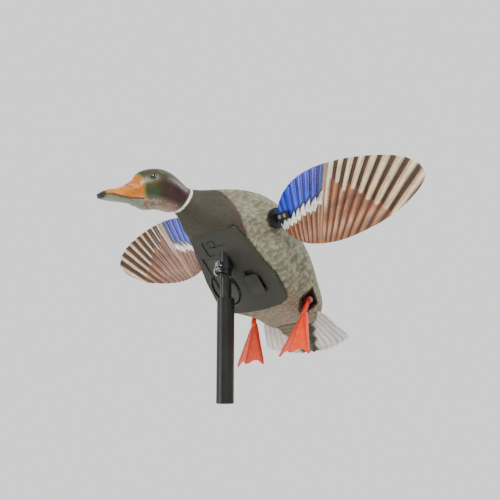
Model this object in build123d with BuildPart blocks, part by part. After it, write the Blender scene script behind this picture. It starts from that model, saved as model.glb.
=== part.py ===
from build123d import *
import math
import os

os.makedirs("parts", exist_ok=True)

# A drake decoy in landing pose with two spinning wings, carried on a pole.
# Frame: origin at the open lower end of the pole section, on its axis.
# +X is the duck's heading, +Y its left side and +Z up. Millimetres and degrees.

# --- driving dimensions: pole, post and lock pin ---
POLE_OD = 25.4
POLE_WALL = 1.6
POLE_LENGTH = 150.0
BUSH_DEPTH = 30.0
BUSH_OD = 21.8
POST_OD = 16.5
RUN = 0.05  # radial running clearance of every shaft and pin that turns
RECEIVER_OD = 19.6
RECEIVER_FOOT = 193.0
RECEIVER_TOP = 243.0
POST_TOP = 240.0
POST_FOOT = 128.0
PIN_D = 5.0
PIN_HEIGHT = 199.5

# --- driving dimensions: body ---
AXLE_X = -30.0
AXLE_Z = 260.0
PITCH = 50.0  # nose-up angle of the body's floor
SHELL_WALL = 3.0
FLOOR = -50.0  # height of the body's flat floor under the wing axle
PLATE = 6.0  # thickness of the base plate below the floor
TUB_TOP = -23.0
TUB_WALL = 2.5

# Stations of the hull, tail to collar: distance ahead of the axle, height of the
# centre, tilt of the section, half width, rise, half width of the floor, drop.
HULL = [
    (-174, 2, 0, 36, 24, 12, 9),
    (-164, 0, 0, 53, 39, 20, 15),
    (-150, 0, 0, 60, 45, 28, 25),
    (-130, 0, 0, 66, 48, 40, 38),
    (-108, 0, 0, 74, 50, 66, 50),
    (-84, 0, 0, 79, 54, 78, 50),
    (-50, 0, 0, 77, 58, 75, 50),
    (-20, 0, 0, 74, 59, 66, 50),
    (5, -3, -3, 71, 58, 60, 47),
    (27, -14, -8, 64, 55, 50, 43),
    (50, -33, -16, 49, 43, 30, 41),
    (70, -53, -22, 32, 29, 14, 31),
    (87.4, -69, -26, 20.5, 20.5, 6, 20),
]

# Stations of the head, collar to brow, from the axle: forward, centre height,
# tilt, half width, rise, drop.
HEAD = [
    (109, 22.6, 24, 20.5, 20.5, 20),
    (122, 25, 14, 20, 22.5, 22.5),
    (138, 29, 4, 22, 29, 27),
    (153, 30, 0, 23, 30.5, 28),
    (168, 27, 0, 21.5, 30.5, 28.5),
    (181, 23, 0, 17.5, 29, 25),
    (192, 18, 0, 13, 22, 19),
]
BILL = [
    (186, 16, 0, 13.5, 22, 15.5),
    (200, 14, 0, 11.5, 18, 12.5),
    (214, 10, 0, 12, 11.5, 9),
    (230, 7.5, 0, 13, 7.5, 7.5),
    (241, 5, 0, 9.5, 5, 5.2),
    (246, 2.5, 0, 4.5, 3, 2.8),
]

# --- driving dimensions: wings and drive ---
WING_SPIN = 20.0  # how far the blades are turned from upright at rest
WING_ROOT = 84.0
WING_TIP = 345.0
WING_THICK = 2.4
SHAFT_D = 6.0
HUB_FACE = 76.0
HUB_THICK = 5.0
HUB_D = 30.0
MOTOR_R = 17.5
MOTOR_HALF = 30.0
TONGUE_END = 108.0
TONGUE_WIDTH = 12.0
WING_SCREWS = (92.0, 102.0)
WING_SCREW_D = 3.0

# --- driving dimensions: legs and tail ---
LEG_B, LEG_H, LEG_Y = -133.0, -9.0, 60.0
LEG_LEAN = {"left": 27.0, "right": 14.0}  # forward lean of the hanging legs
LEG_PIN_D = 4.0
SOCKET_B = (-147.0, -119.0)
SOCKET_H = (-26.0, 4.0)
SOCKET_Y = 47.0
SOCKET_WALL = 1.5
TAIL_H = -3.0
TAIL_THICK = 3.0

# --- driving dimensions: hatches and switch in the base plate ---
DOOR_B = (-93.0, -14.0)
DOOR_Y = (-48.0, -16.5)
DOOR_THICK = 3.0
DOOR_AXIS = (-50.0, -56.5)  # left distance and height of the hinge line
KNUCKLE_R = 1.9
FLAP_B = (-84.0, -52.0)
FLAP_Y = (17.5, 43.0)
FLAP_FACE = -59.0
FLAP_AXIS = (44.6, -59.4)  # left distance and height of the flap's hinge line
FLAP_KNUCKLE_R = 1.6
GAP = 0.35
HINGE_PIN_D = 1.8
ROCKER_B, ROCKER_Y = 7.8, -16.0
ROCKER_LONG, ROCKER_WIDE = 17.0, 9.0
ROCKER_AXIS_H = -51.05
ROCKER_FACE = -55.2
CELL_D = 14.5
CELL_LENGTH = 65.0
CELL_H = -38.0
BOARD_B = (-90.0, -50.0)
BOARD_Y = (14.0, 44.0)
BOARD_H = -31.0

AXLE = Vector(AXLE_X, 0, AXLE_Z)
pitch = math.radians(PITCH)
AHEAD = Vector(math.cos(pitch), 0, math.sin(pitch))
ABOVE = Vector(-math.sin(pitch), 0, math.cos(pitch))
BODY = Plane(origin=AXLE, x_dir=AHEAD, z_dir=ABOVE)
spin = math.radians(WING_SPIN)
WINGS = Plane(origin=AXLE, x_dir=(0, 1, 0), z_dir=(math.cos(spin), 0, -math.sin(spin)))


def deck(height):
    """Plane along the body's floor at a height over the axle: x ahead, y left."""
    return BODY.offset(height)


def bulkhead(b, height=0.0, tilt=0.0):
    """Plane across the body: x is left, y is up, and it faces ahead."""
    angle = math.radians(PITCH + tilt)
    centre = BODY.from_local_coords((b, 0, height))
    return Plane(origin=centre, x_dir=(0, 1, 0), z_dir=(math.cos(angle), 0, math.sin(angle)))


def head_section_plane(x, z, tilt):
    """Plane across the head, placed from the axle in the upright frame."""
    angle = math.radians(tilt)
    centre = (AXLE_X + x, 0, AXLE_Z + z)
    return Plane(origin=centre, x_dir=(0, 1, 0), z_dir=(math.cos(angle), 0, math.sin(angle)))


def athwart(y, origin=AXLE):
    """Plane that faces left at a distance y from the middle, centred on a point."""
    return Plane(origin=(origin.X, y, origin.Z), x_dir=(1, 0, 0), z_dir=(0, 1, 0))


def level(z):
    return Plane.XY.offset(z)


def hull_outline(half, rise, floor_half, drop):
    """A flat floor and one smooth line over the back."""
    with BuildLine() as outline:
        Line((-floor_half, -drop), (floor_half, -drop))
        Spline(
            (floor_half, -drop),
            (half, -0.12 * drop),
            (0.74 * half, 0.72 * rise),
            (0, rise),
            (-0.74 * half, 0.72 * rise),
            (-half, -0.12 * drop),
            (-floor_half, -drop),
        )
    make_face(outline.edges())


def oval_outline(half, rise, drop):
    """A closed round outline with its widest line through the centre."""
    with BuildLine() as outline:
        Spline(
            (half, 0),
            (0.73 * half, 0.72 * rise),
            (0, rise),
            (-0.73 * half, 0.72 * rise),
            (-half, 0),
            (-0.73 * half, -0.72 * drop),
            (0, -drop),
            (0.73 * half, -0.72 * drop),
            periodic=True,
        )
    make_face(outline.edges())


def hull_sections(inset, tail_inset):
    """Sections of the hull inside its skin by the inset."""
    sections = []
    for i, (b, height, tilt, half, rise, floor_half, drop) in enumerate(HULL):
        shift = tail_inset if i == 0 else 0
        with BuildSketch(bulkhead(b + shift, height, tilt)) as section:
            hull_outline(half - inset, rise - inset, floor_half - inset, drop - inset)
        sections.append(section.sketch.face())
    return sections


def head_sections(stations, inset, tip_inset):
    """Sections of the head or bill inside its skin by the inset."""
    sections = []
    last = len(stations) - 1
    for i, (x, z, tilt, half, rise, drop) in enumerate(stations):
        shift = tip_inset if i == last else 0
        with BuildSketch(head_section_plane(x - shift, z, tilt)) as section:
            oval_outline(half - inset, rise - inset, drop - inset)
        sections.append(section.sketch.face())
    return sections


def plate_outline(inset=0.0):
    """Outline of the base plate: narrow ahead, wide and round behind."""
    front, waist, rear = 25.5 - inset, -50.0, -105.0 + inset
    with BuildLine() as outline:
        Polyline(
            (rear, -77 + inset), (waist, -71.5 + inset), (front, -51.5 + inset),
            (front, 51.5 - inset), (waist, 71.5 - inset), (rear, 77 - inset),
        )
        ThreePointArc((rear, 77 - inset), (rear - 7, 0), (rear, -77 + inset))
    make_face(outline.edges())


def rect(b_range, y_range):
    """Rectangle on a deck plane between two distances ahead and two to the left."""
    with Locations(((b_range[0] + b_range[1]) / 2, (y_range[0] + y_range[1]) / 2)):
        Rectangle(b_range[1] - b_range[0], y_range[1] - y_range[0])


def save(name, builder):
    builder.part.label = name
    export_step(builder.part, f"parts/{name}.step")


# --- pole section, with the bush in its mouth ---
# The lower pole section plugs in up to the shoulder under the bush.
with BuildPart() as pole:
    with BuildSketch(level(0)):
        Circle(POLE_OD / 2)
    extrude(amount=POLE_LENGTH)
    with BuildSketch(level(0)):
        Circle(POLE_OD / 2 - POLE_WALL)
    extrude(amount=POLE_LENGTH - BUSH_DEPTH, mode=Mode.SUBTRACT)
    with BuildSketch(level(POLE_LENGTH - BUSH_DEPTH)):
        Circle(BUSH_OD / 2)
    extrude(amount=BUSH_DEPTH, mode=Mode.SUBTRACT)
    chamfer(pole.edges().filter_by(GeomType.CIRCLE).group_by(Axis.Z)[-1], 0.4)
save("pole", pole)

with BuildPart() as pole_bush:
    with BuildSketch(level(POLE_LENGTH - BUSH_DEPTH)):
        Circle(BUSH_OD / 2)
    extrude(amount=BUSH_DEPTH - 0.6)
    with BuildSketch(level(POST_FOOT)):
        Circle(POST_OD / 2 + RUN)
    extrude(amount=BUSH_DEPTH, mode=Mode.SUBTRACT)
save("pole_bush", pole_bush)

# --- post and its receiver, locked by a pull pin ---
with BuildPart() as post:
    with BuildSketch(level(POST_FOOT)):
        Circle(POST_OD / 2)
        Circle(POST_OD / 2 - 2.0, mode=Mode.SUBTRACT)
    extrude(amount=POST_TOP - POST_FOOT)
    with BuildSketch(Plane.YZ.offset(0)):
        with Locations((0, PIN_HEIGHT)):
            Circle(PIN_D / 2 + RUN)
    extrude(amount=POST_OD, mode=Mode.SUBTRACT)
save("post", post)

with BuildPart() as receiver:
    with BuildSketch(level(RECEIVER_FOOT)):
        Circle(RECEIVER_OD / 2)
    extrude(amount=RECEIVER_TOP - RECEIVER_FOOT)
    with BuildSketch(level(RECEIVER_FOOT)):
        Circle(POST_OD / 2)
    extrude(amount=POST_TOP - RECEIVER_FOOT, mode=Mode.SUBTRACT)
    with BuildSketch(Plane.YZ.offset(0)):
        with Locations((0, PIN_HEIGHT)):
            Circle(PIN_D / 2 + RUN)
    extrude(amount=RECEIVER_OD, mode=Mode.SUBTRACT)
save("post_receiver", receiver)

# The pin plugs 4 mm into the post's front wall. Its knob has an eye for the link.
PIN_HEAD_X = RECEIVER_OD / 2 + 1.0
KNOB = 4.0
TAB = 2.5
EYE_X = PIN_HEAD_X + KNOB + TAB / 2
EYE_Z = PIN_HEIGHT - 5.5
with BuildPart() as lock_pin:
    with BuildSketch(Plane.YZ.offset(POST_OD / 2 - 4.0)):
        with Locations((0, PIN_HEIGHT)):
            Circle(PIN_D / 2)
    extrude(amount=PIN_HEAD_X - POST_OD / 2 + 4.5)
    with BuildSketch(Plane.YZ.offset(PIN_HEAD_X)):
        with Locations((0, PIN_HEIGHT)):
            Circle(4.5)
    extrude(amount=KNOB)
    with BuildSketch(Plane.YZ.offset(PIN_HEAD_X + KNOB - 0.5)):
        with Locations((0, EYE_Z)):
            Circle(4.2)
        with Locations((0, EYE_Z + 4)):
            Rectangle(7, 8)
    extrude(amount=TAB + 0.5)
    with BuildSketch(Plane.YZ.offset(PIN_HEAD_X)):
        with Locations((0, EYE_Z)):
            Circle(2.2)
    extrude(amount=KNOB + TAB, mode=Mode.SUBTRACT)
save("lock_pin", lock_pin)

# A small link hangs in the eye, and the pull ring hangs in the link, round the post.
LINK_R, LINK_WIRE = 5.4, 0.9
RING_R, RING_WIRE = 26.5, 1.9
RING_TILT = 52.5
link_z = EYE_Z - 0.9 - LINK_R
with BuildPart() as pin_link:
    with BuildSketch(Plane(origin=(EYE_X, 0, link_z - LINK_R), x_dir=(0, 1, 0), z_dir=(1, 0, 0))):
        Circle(LINK_WIRE)
    revolve(axis=Axis((EYE_X, 0, link_z), (0, 1, 0)))
save("pin_link", pin_link)

ring_lean = math.radians(RING_TILT)
RING_TOP = Vector(EYE_X, 0, link_z - LINK_R + LINK_WIRE + RING_WIRE + 0.3)
ring_down = Vector(-math.cos(ring_lean), 0, -math.sin(ring_lean))
ring_centre = RING_TOP + ring_down * RING_R
ring_axis = Vector(math.sin(ring_lean), 0, -math.cos(ring_lean))
with BuildPart() as pull_ring:
    with BuildSketch(Plane(origin=ring_centre, x_dir=ring_down, z_dir=(0, 1, 0))):
        with Locations((RING_R, 0)):
            Circle(RING_WIRE)
    revolve(axis=Axis(ring_centre, ring_axis))
save("pull_ring", pull_ring)

# --- body shell ---
with BuildPart() as hull_solid:
    loft(hull_sections(0, 0))

with BuildPart() as hull_hollow:
    loft(hull_sections(SHELL_WALL, SHELL_WALL))

BUSHING_R = 5.0
BUSHING_LIP = 75.0
TUB_B = (-97.0, 16.0)
TUB_Y = 50.0
with BuildPart() as body_shell:
    add(hull_solid.part)
    add(hull_hollow.part, mode=Mode.SUBTRACT)
    # seat of the base plate, and the belly opening for its tub
    with BuildSketch(deck(FLOOR - 25)):
        plate_outline()
    extrude(amount=25, mode=Mode.SUBTRACT)
    with BuildSketch(deck(FLOOR - 1)):
        rect(TUB_B, (-TUB_Y, TUB_Y))
    extrude(amount=8, mode=Mode.SUBTRACT)
    # recesses of the two leg sockets
    with BuildSketch(deck(SOCKET_H[0])):
        rect(SOCKET_B, (SOCKET_Y, 90))
        rect(SOCKET_B, (-90, -SOCKET_Y))
    extrude(amount=SOCKET_H[1] - SOCKET_H[0], mode=Mode.SUBTRACT)
    # holes of the shaft bushings
    with BuildSketch(athwart(-90)):
        Circle(BUSHING_R)
    extrude(amount=180, mode=Mode.SUBTRACT)
save("body_shell", body_shell)

# --- head and bill, one hollow moulding with a spigot into the neck ---
HEAD_WALL = 2.5
collar = head_section_plane(*HEAD[0][:3])
with BuildPart() as skull:
    loft(head_sections(HEAD, 0, 0))
with BuildPart() as skull_hollow:
    loft(head_sections(HEAD, HEAD_WALL, HEAD_WALL))
with BuildPart() as bill:
    loft(head_sections(BILL, 0, 0))
SPIGOT_R, SPIGOT_DEPTH = 15.0, 7.0
with BuildPart() as head:
    add(skull.part)
    add(bill.part)
    add(skull_hollow.part, mode=Mode.SUBTRACT)
    with BuildSketch(collar.offset(-SPIGOT_DEPTH)):
        Circle(SPIGOT_R)
        Circle(SPIGOT_R - 2, mode=Mode.SUBTRACT)
    extrude(amount=SPIGOT_DEPTH)
    with BuildSketch(collar):
        Circle(SPIGOT_R + 2.5)
        Circle(SPIGOT_R - 2, mode=Mode.SUBTRACT)
    extrude(amount=2.5)
    add(body_shell.part, mode=Mode.SUBTRACT)
save("head", head)

# --- tail fan with the wedge of covert feathers under it ---
TAIL_ROOT, TAIL_SIDE, TAIL_TIP = -156.0, -206.0, -223.0
TAIL_FEATHERS = 14
TAIL_HALF = 90.0


def tail_edge(i):
    """Point between two feathers on the fan's rear edge, from right to left."""
    share = -1 + 2 * i / TAIL_FEATHERS
    return (TAIL_TIP + (TAIL_SIDE - TAIL_TIP) * share ** 2, TAIL_HALF * share)


with BuildPart() as tail_fan:
    with BuildSketch(deck(TAIL_H - TAIL_THICK / 2)):
        with BuildLine():
            Polyline(tail_edge(TAIL_FEATHERS), (-165, 70), (TAIL_ROOT, 55), (TAIL_ROOT, -55),
                     (-165, -70), tail_edge(0))
            for i in range(TAIL_FEATHERS):
                a = Vector(*tail_edge(i))
                c = Vector(*tail_edge(i + 1))
                bulge = (a + c) * 0.5 + Vector(-3.0, 1.2 * (2 * i + 1 - TAIL_FEATHERS) / TAIL_FEATHERS)
                ThreePointArc(a, bulge, c)
        make_face()
    extrude(amount=TAIL_THICK)
    with BuildSketch(bulkhead(TAIL_ROOT, TAIL_H)):
        Polygon((-48, 0), (48, 0), (34, -14), (-34, -14), align=None)
    with BuildSketch(bulkhead(TAIL_TIP + 3, TAIL_H)):
        Polygon((-14, 0), (14, 0), (10, -2.2), (-10, -2.2), align=None)
    loft(ruled=True)
    add(hull_solid.part, mode=Mode.SUBTRACT)
tail_pieces = tail_fan.part.solids().sort_by(SortBy.VOLUME)
if len(tail_pieces) > 1:
    with BuildPart() as tail_fan:
        add(tail_pieces[-1])
save("tail_fan", tail_fan)

# --- base housing: plate, tub, post boss, hatch openings and hinge knuckles ---
DOOR_KNUCKLES = [(-84.0, -68.0), (-39.0, -23.0)]
DOOR_LINE = (-92.0, -10.0)  # stretch that the hinge knuckles fill
DOOR_PIN_LENGTH = 80.0
FLAP_KNUCKLE = (-77.0, -59.0)
FLAP_PIN_B, FLAP_PIN_LENGTH = -83.0, 30.0
PAD_B, PAD_Y = (-10.0, 15.0), (-33.0, 17.0)


BOARD_MID = ((BOARD_B[0] + BOARD_B[1]) / 2, (BOARD_Y[0] + BOARD_Y[1]) / 2)
BOARD_TOP = BOARD_H + 1.6
BOARD_SCREW_R = 1.1
LEAD_R = 0.9
LEAD_PITCH = 2.6


def lead_bend(k):
    """Place of a motor lead's hole in the tub's top: ahead and left."""
    return (-11.0 - LEAD_PITCH * k, -40.0 - LEAD_PITCH * k)


boss_middle = BODY.to_local_coords(Vector(0, 0, 229))
BOSS_SPOT = (boss_middle.X, boss_middle.Y)


def along(b, y, height):
    """Plane that faces ahead, centred on a line parallel to the body's floor."""
    return Plane(origin=BODY.from_local_coords((b, y, height)), x_dir=(0, 1, 0), z_dir=AHEAD)


def across(b, y, height):
    """Plane that faces left, centred on a line across the body."""
    return Plane(origin=BODY.from_local_coords((b, y, height)), x_dir=AHEAD, z_dir=(0, 1, 0))


def rod(plane, radius, length, mode=Mode.ADD):
    """Round bar from a plane, added to the part being built or cut from it."""
    with BuildSketch(plane) as disc:
        Circle(radius)
    extrude(disc.sketch.face(), amount=length, mode=mode)


with BuildPart() as base_housing:
    # boss of the post receiver, upright through the tilted plate
    with BuildSketch(level(190)):
        Circle(RECEIVER_OD / 2 + 2.5)
    extrude(amount=RECEIVER_TOP - 2 - 190)
    with BuildSketch(deck(FLOOR - PLATE - 60)):
        Rectangle(200, 60)
    extrude(amount=60, mode=Mode.SUBTRACT)
    # plate
    with BuildSketch(deck(FLOOR - PLATE)):
        plate_outline()
    extrude(amount=PLATE)
    rear_corners = base_housing.edges().filter_by(lambda e: abs(e.length - PLATE) < 0.01)
    fillet(rear_corners.sort_by(Axis(BODY.origin, AHEAD))[:2], 20)
    front_corners = base_housing.edges().filter_by(lambda e: abs(e.length - PLATE) < 0.01)
    fillet(front_corners.sort_by(Axis(BODY.origin, AHEAD))[-2:], 5)
    # tub
    with BuildSketch(deck(FLOOR)):
        rect(TUB_B, (-TUB_Y, TUB_Y))
    extrude(amount=TUB_TOP - FLOOR)
    with BuildSketch(deck(FLOOR)):
        rect((TUB_B[0] + TUB_WALL, TUB_B[1] - TUB_WALL), (-TUB_Y + TUB_WALL, TUB_Y - TUB_WALL))
        with Locations(BOSS_SPOT):
            Rectangle(46, 2 * (RECEIVER_OD / 2 + 2.5), mode=Mode.SUBTRACT)
    extrude(amount=TUB_TOP - FLOOR - TUB_WALL, mode=Mode.SUBTRACT)
    # spacers of the circuit board, hung from the tub's top
    with BuildSketch(deck(BOARD_TOP)):
        with Locations(BOARD_MID):
            with GridLocations(34, 24, 2, 2):
                Circle(2.5)
                Circle(BOARD_SCREW_R, mode=Mode.SUBTRACT)
    extrude(amount=TUB_TOP - TUB_WALL - BOARD_TOP)
    # hole of the two motor leads in the tub's top
    with BuildSketch(deck(TUB_TOP - TUB_WALL)):
        with Locations(lead_bend(0.5)):
            Circle(3.6)
    extrude(amount=TUB_WALL, mode=Mode.SUBTRACT)
    # bore of the receiver
    with BuildSketch(level(180)):
        Circle(RECEIVER_OD / 2)
    extrude(amount=RECEIVER_TOP - 180, mode=Mode.SUBTRACT)
    # door opening and the groove of its hinge
    with BuildSketch(deck(FLOOR - PLATE)):
        rect(DOOR_B, DOOR_Y)
    extrude(amount=PLATE, mode=Mode.SUBTRACT)
    with BuildSketch(deck(FLOOR - PLATE)):
        for knuckle in DOOR_KNUCKLES:
            rect(knuckle, (DOOR_AXIS[0] - 2.4, DOOR_Y[0] + 0.1))
        rect((-60, -48), (DOOR_Y[1] - 0.1, DOOR_Y[1] + 4))
    extrude(amount=2.4, mode=Mode.SUBTRACT)
    ends = [DOOR_LINE[0]] + [end for knuckle in DOOR_KNUCKLES for end in knuckle] + [DOOR_LINE[1]]
    for start, stop in zip(ends[::2], ends[1::2]):
        rod(along(start, *DOOR_AXIS), KNUCKLE_R, stop - start)
    # flap opening, its finger recess and the ears of its hinge
    with BuildSketch(deck(FLOOR - PLATE)):
        rect(FLAP_B, FLAP_Y)
    extrude(amount=PLATE, mode=Mode.SUBTRACT)
    with BuildSketch(deck(FLOOR - PLATE)):
        rect((FLAP_B[1] - 0.1, FLAP_B[1] + 7), (FLAP_Y[0] + 3, FLAP_Y[1] - 3))
        rect((FLAP_KNUCKLE[0] - 0.4, FLAP_KNUCKLE[1] + 0.4), (FLAP_Y[1] - 0.1, FLAP_AXIS[0] + 4))
    extrude(amount=3.5, mode=Mode.SUBTRACT)
    for start, stop in ((FLAP_PIN_B, FLAP_KNUCKLE[0] - 0.4), (FLAP_KNUCKLE[1] + 0.4, FLAP_B[1] - 1)):
        rod(along(start, *FLAP_AXIS), FLAP_KNUCKLE_R, stop - start)
        with BuildSketch(deck(FLAP_AXIS[1])):
            rect((start, stop), (FLAP_AXIS[0] - 1.2, FLAP_AXIS[0] + FLAP_KNUCKLE_R))
        extrude(amount=FLOOR - PLATE - FLAP_AXIS[1])
    rod(along(FLAP_PIN_B, *FLAP_AXIS), HINGE_PIN_D / 2, FLAP_PIN_LENGTH, Mode.SUBTRACT)
    rod(along(DOOR_LINE[0], *DOOR_AXIS), HINGE_PIN_D / 2, DOOR_PIN_LENGTH, Mode.SUBTRACT)
    # switch pad, and the oval hole of the rocker
    with BuildSketch(deck(FLOOR - PLATE)):
        with Locations(((PAD_B[0] + PAD_B[1]) / 2, (PAD_Y[0] + PAD_Y[1]) / 2)):
            RectangleRounded(PAD_B[1] - PAD_B[0], PAD_Y[1] - PAD_Y[0], 5)
        with Locations((-18, 0)):
            Rectangle(40, 34, mode=Mode.SUBTRACT)
    extrude(amount=1.5, mode=Mode.SUBTRACT)
    with BuildSketch(deck(FLOOR - PLATE)):
        with Locations((ROCKER_B, ROCKER_Y)):
            SlotOverall(ROCKER_LONG + 1.6, ROCKER_WIDE + 1.6, rotation=90)
    extrude(amount=PLATE, mode=Mode.SUBTRACT)
save("base_housing", base_housing)

# --- battery door with its hinge pin, and the cells behind it ---
with BuildPart() as battery_door:
    with BuildSketch(deck(FLOOR - PLATE)):
        rect((DOOR_B[0] + GAP, DOOR_B[1] - GAP), (DOOR_Y[0] + GAP, DOOR_Y[1] - GAP))
    extrude(amount=DOOR_THICK)
    for start, stop in DOOR_KNUCKLES:
        rod(along(start + 0.3, *DOOR_AXIS), KNUCKLE_R, stop - start - 0.6)
        with BuildSketch(deck(FLOOR - PLATE - 0.2)):
            rect((start + 0.3, stop - 0.3), (DOOR_AXIS[0], DOOR_Y[0] + 2))
        extrude(amount=1.5)
    rod(along(DOOR_LINE[0], *DOOR_AXIS), HINGE_PIN_D / 2 + RUN, DOOR_PIN_LENGTH, Mode.SUBTRACT)
save("battery_door", battery_door)

with BuildPart() as door_hinge_pin:
    rod(along(DOOR_LINE[0], *DOOR_AXIS), HINGE_PIN_D / 2, DOOR_PIN_LENGTH)
save("door_hinge_pin", door_hinge_pin)

with BuildPart() as battery_cells:
    for y in (-39.9, -25.1):
        rod(along((DOOR_B[0] + DOOR_B[1] - CELL_LENGTH) / 2, y, CELL_H), CELL_D / 2, CELL_LENGTH)
save("battery_cells", battery_cells)

# --- charge flap and its hinge pin ---
with BuildPart() as charge_flap:
    with BuildSketch(deck(FLAP_FACE)):
        rect((FLAP_B[0] + GAP, FLAP_B[1] - GAP), (FLAP_Y[0] + GAP, FLAP_Y[1] - GAP))
    extrude(amount=FLOOR - 3 - FLAP_FACE)
    with BuildSketch(deck(FLAP_FACE + 2)):
        rect((FLAP_B[0] + 2.5, FLAP_B[1] - 2.5), (FLAP_Y[0] + 2.5, FLAP_Y[1] - 2.5))
    extrude(amount=FLOOR - 3 - FLAP_FACE, mode=Mode.SUBTRACT)
    rod(along(FLAP_KNUCKLE[0], *FLAP_AXIS), FLAP_KNUCKLE_R, FLAP_KNUCKLE[1] - FLAP_KNUCKLE[0])
    with BuildSketch(deck(FLAP_FACE)):
        rect(FLAP_KNUCKLE, (FLAP_Y[1] - 2, FLAP_AXIS[0]))
    extrude(amount=1.6)
    rod(along(FLAP_PIN_B, *FLAP_AXIS), HINGE_PIN_D / 2 + RUN, FLAP_PIN_LENGTH, Mode.SUBTRACT)
save("charge_flap", charge_flap)

with BuildPart() as flap_hinge_pin:
    rod(along(FLAP_PIN_B, *FLAP_AXIS), HINGE_PIN_D / 2, FLAP_PIN_LENGTH)
save("flap_hinge_pin", flap_hinge_pin)

# --- rocker switch, which tilts on the half-round fulcrum of its case ---
FULCRUM_R = 1.0
with BuildPart() as rocker:
    with BuildSketch(deck(ROCKER_FACE)):
        with Locations((ROCKER_B, ROCKER_Y)):
            SlotOverall(ROCKER_LONG, ROCKER_WIDE, rotation=90)
    extrude(amount=ROCKER_AXIS_H - ROCKER_FACE)
    rod(along(ROCKER_B - ROCKER_WIDE, ROCKER_Y, ROCKER_FACE - 27), 28, 2 * ROCKER_WIDE, Mode.SUBTRACT)
save("power_rocker", rocker)

with BuildPart() as switch_case:
    with BuildSketch(deck(FLOOR)):
        rect((ROCKER_B - 5.5, ROCKER_B + 5.5), (ROCKER_Y - 9.5, ROCKER_Y + 3.4))
    extrude(amount=10)
    rod(along(ROCKER_B - 4, ROCKER_Y, ROCKER_AXIS_H + FULCRUM_R + RUN), FULCRUM_R, 8)
save("switch_case", switch_case)

# --- circuit board with its parts, its screws and the charge jack ---
with BuildPart() as receiver_board:
    with BuildSketch(deck(BOARD_H)):
        rect(BOARD_B, BOARD_Y)
        with Locations(BOARD_MID):
            with GridLocations(34, 24, 2, 2):
                Circle(BOARD_SCREW_R, mode=Mode.SUBTRACT)
    extrude(amount=1.6)
    with BuildSketch(deck(BOARD_H - 4)):
        rect((-64, -54), (20, 36))
    extrude(amount=4)
    with BuildSketch(deck(BOARD_H - 1.8)):
        rect((-84, -76), (17, 25))
        rect((-84, -75), (30, 38))
    extrude(amount=1.8)
save("receiver_board", receiver_board)

with BuildPart() as board_screws:
    with BuildSketch(deck(BOARD_H - 1.4)):
        with Locations(BOARD_MID):
            with GridLocations(34, 24, 2, 2):
                Circle(2.2)
    extrude(amount=1.4)
    with BuildSketch(deck(BOARD_H)):
        with Locations(BOARD_MID):
            with GridLocations(34, 24, 2, 2):
                Circle(BOARD_SCREW_R)
    extrude(amount=4.4)
save("board_screws", board_screws)

JACK_SPOT = (-69.0, 30.0)
with BuildPart() as charge_jack:
    with BuildSketch(deck(FLOOR)):
        with Locations(JACK_SPOT):
            Circle(4.5)
    extrude(amount=BOARD_H - FLOOR)
    with BuildSketch(deck(FLOOR)):
        with Locations(JACK_SPOT):
            Circle(2.75)
            Circle(1.0, mode=Mode.SUBTRACT)
    extrude(amount=9.5, mode=Mode.SUBTRACT)
save("charge_jack", charge_jack)

# --- motor on the wing axle ---
SHAFT_R = SHAFT_D / 2
CAN_WALL = 1.2
BEARING_R, BEARING_WIDE = 6.5, 5.0
with BuildPart() as motor_can:
    rod(athwart(-MOTOR_HALF), MOTOR_R, 2 * MOTOR_HALF)
    rod(athwart(-MOTOR_HALF), MOTOR_R - CAN_WALL, 2 * MOTOR_HALF - 1.5, Mode.SUBTRACT)
    rod(athwart(0), BEARING_R, MOTOR_HALF, Mode.SUBTRACT)
save("motor_can", motor_can)

with BuildPart() as motor_end_bell:
    rod(athwart(-MOTOR_HALF), MOTOR_R - CAN_WALL, 3)
    rod(athwart(-MOTOR_HALF - 1), BEARING_R, 5, Mode.SUBTRACT)
save("motor_end_bell", motor_end_bell)

with BuildPart() as motor_bearings:
    for y in (-MOTOR_HALF - 2, MOTOR_HALF - 3):
        rod(athwart(y), BEARING_R, BEARING_WIDE)
    rod(athwart(-50), SHAFT_R + RUN, 100, Mode.SUBTRACT)
save("motor_bearings", motor_bearings)

with BuildPart() as motor_magnets:
    rod(athwart(-18), MOTOR_R - CAN_WALL, 36)
    rod(athwart(-18), 13.6, 36, Mode.SUBTRACT)
    with BuildSketch(athwart(-18)):
        Rectangle(40, 10)
    extrude(amount=36, mode=Mode.SUBTRACT)
save("motor_magnets", motor_magnets)

with BuildPart() as rotor_core:
    rod(athwart(-16), 12.9, 32)
    with BuildSketch(athwart(-16)):
        with PolarLocations(12.9, 5):
            Rectangle(6, 2.2)
    extrude(amount=32, mode=Mode.SUBTRACT)
    rod(athwart(-16), SHAFT_R, 32, Mode.SUBTRACT)
save("rotor_core", rotor_core)

with BuildPart() as commutator:
    rod(athwart(-24), 6, 8)
    rod(athwart(-24), SHAFT_R, 8, Mode.SUBTRACT)
save("commutator", commutator)

with BuildPart() as brushes:
    for side in (-1, 1):
        with BuildSketch(athwart(-MOTOR_HALF + 3)):
            with Locations((0, side * 8.8)):
                Rectangle(4, 4.6)
        extrude(amount=8)
save("motor_brushes", brushes)

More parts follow.
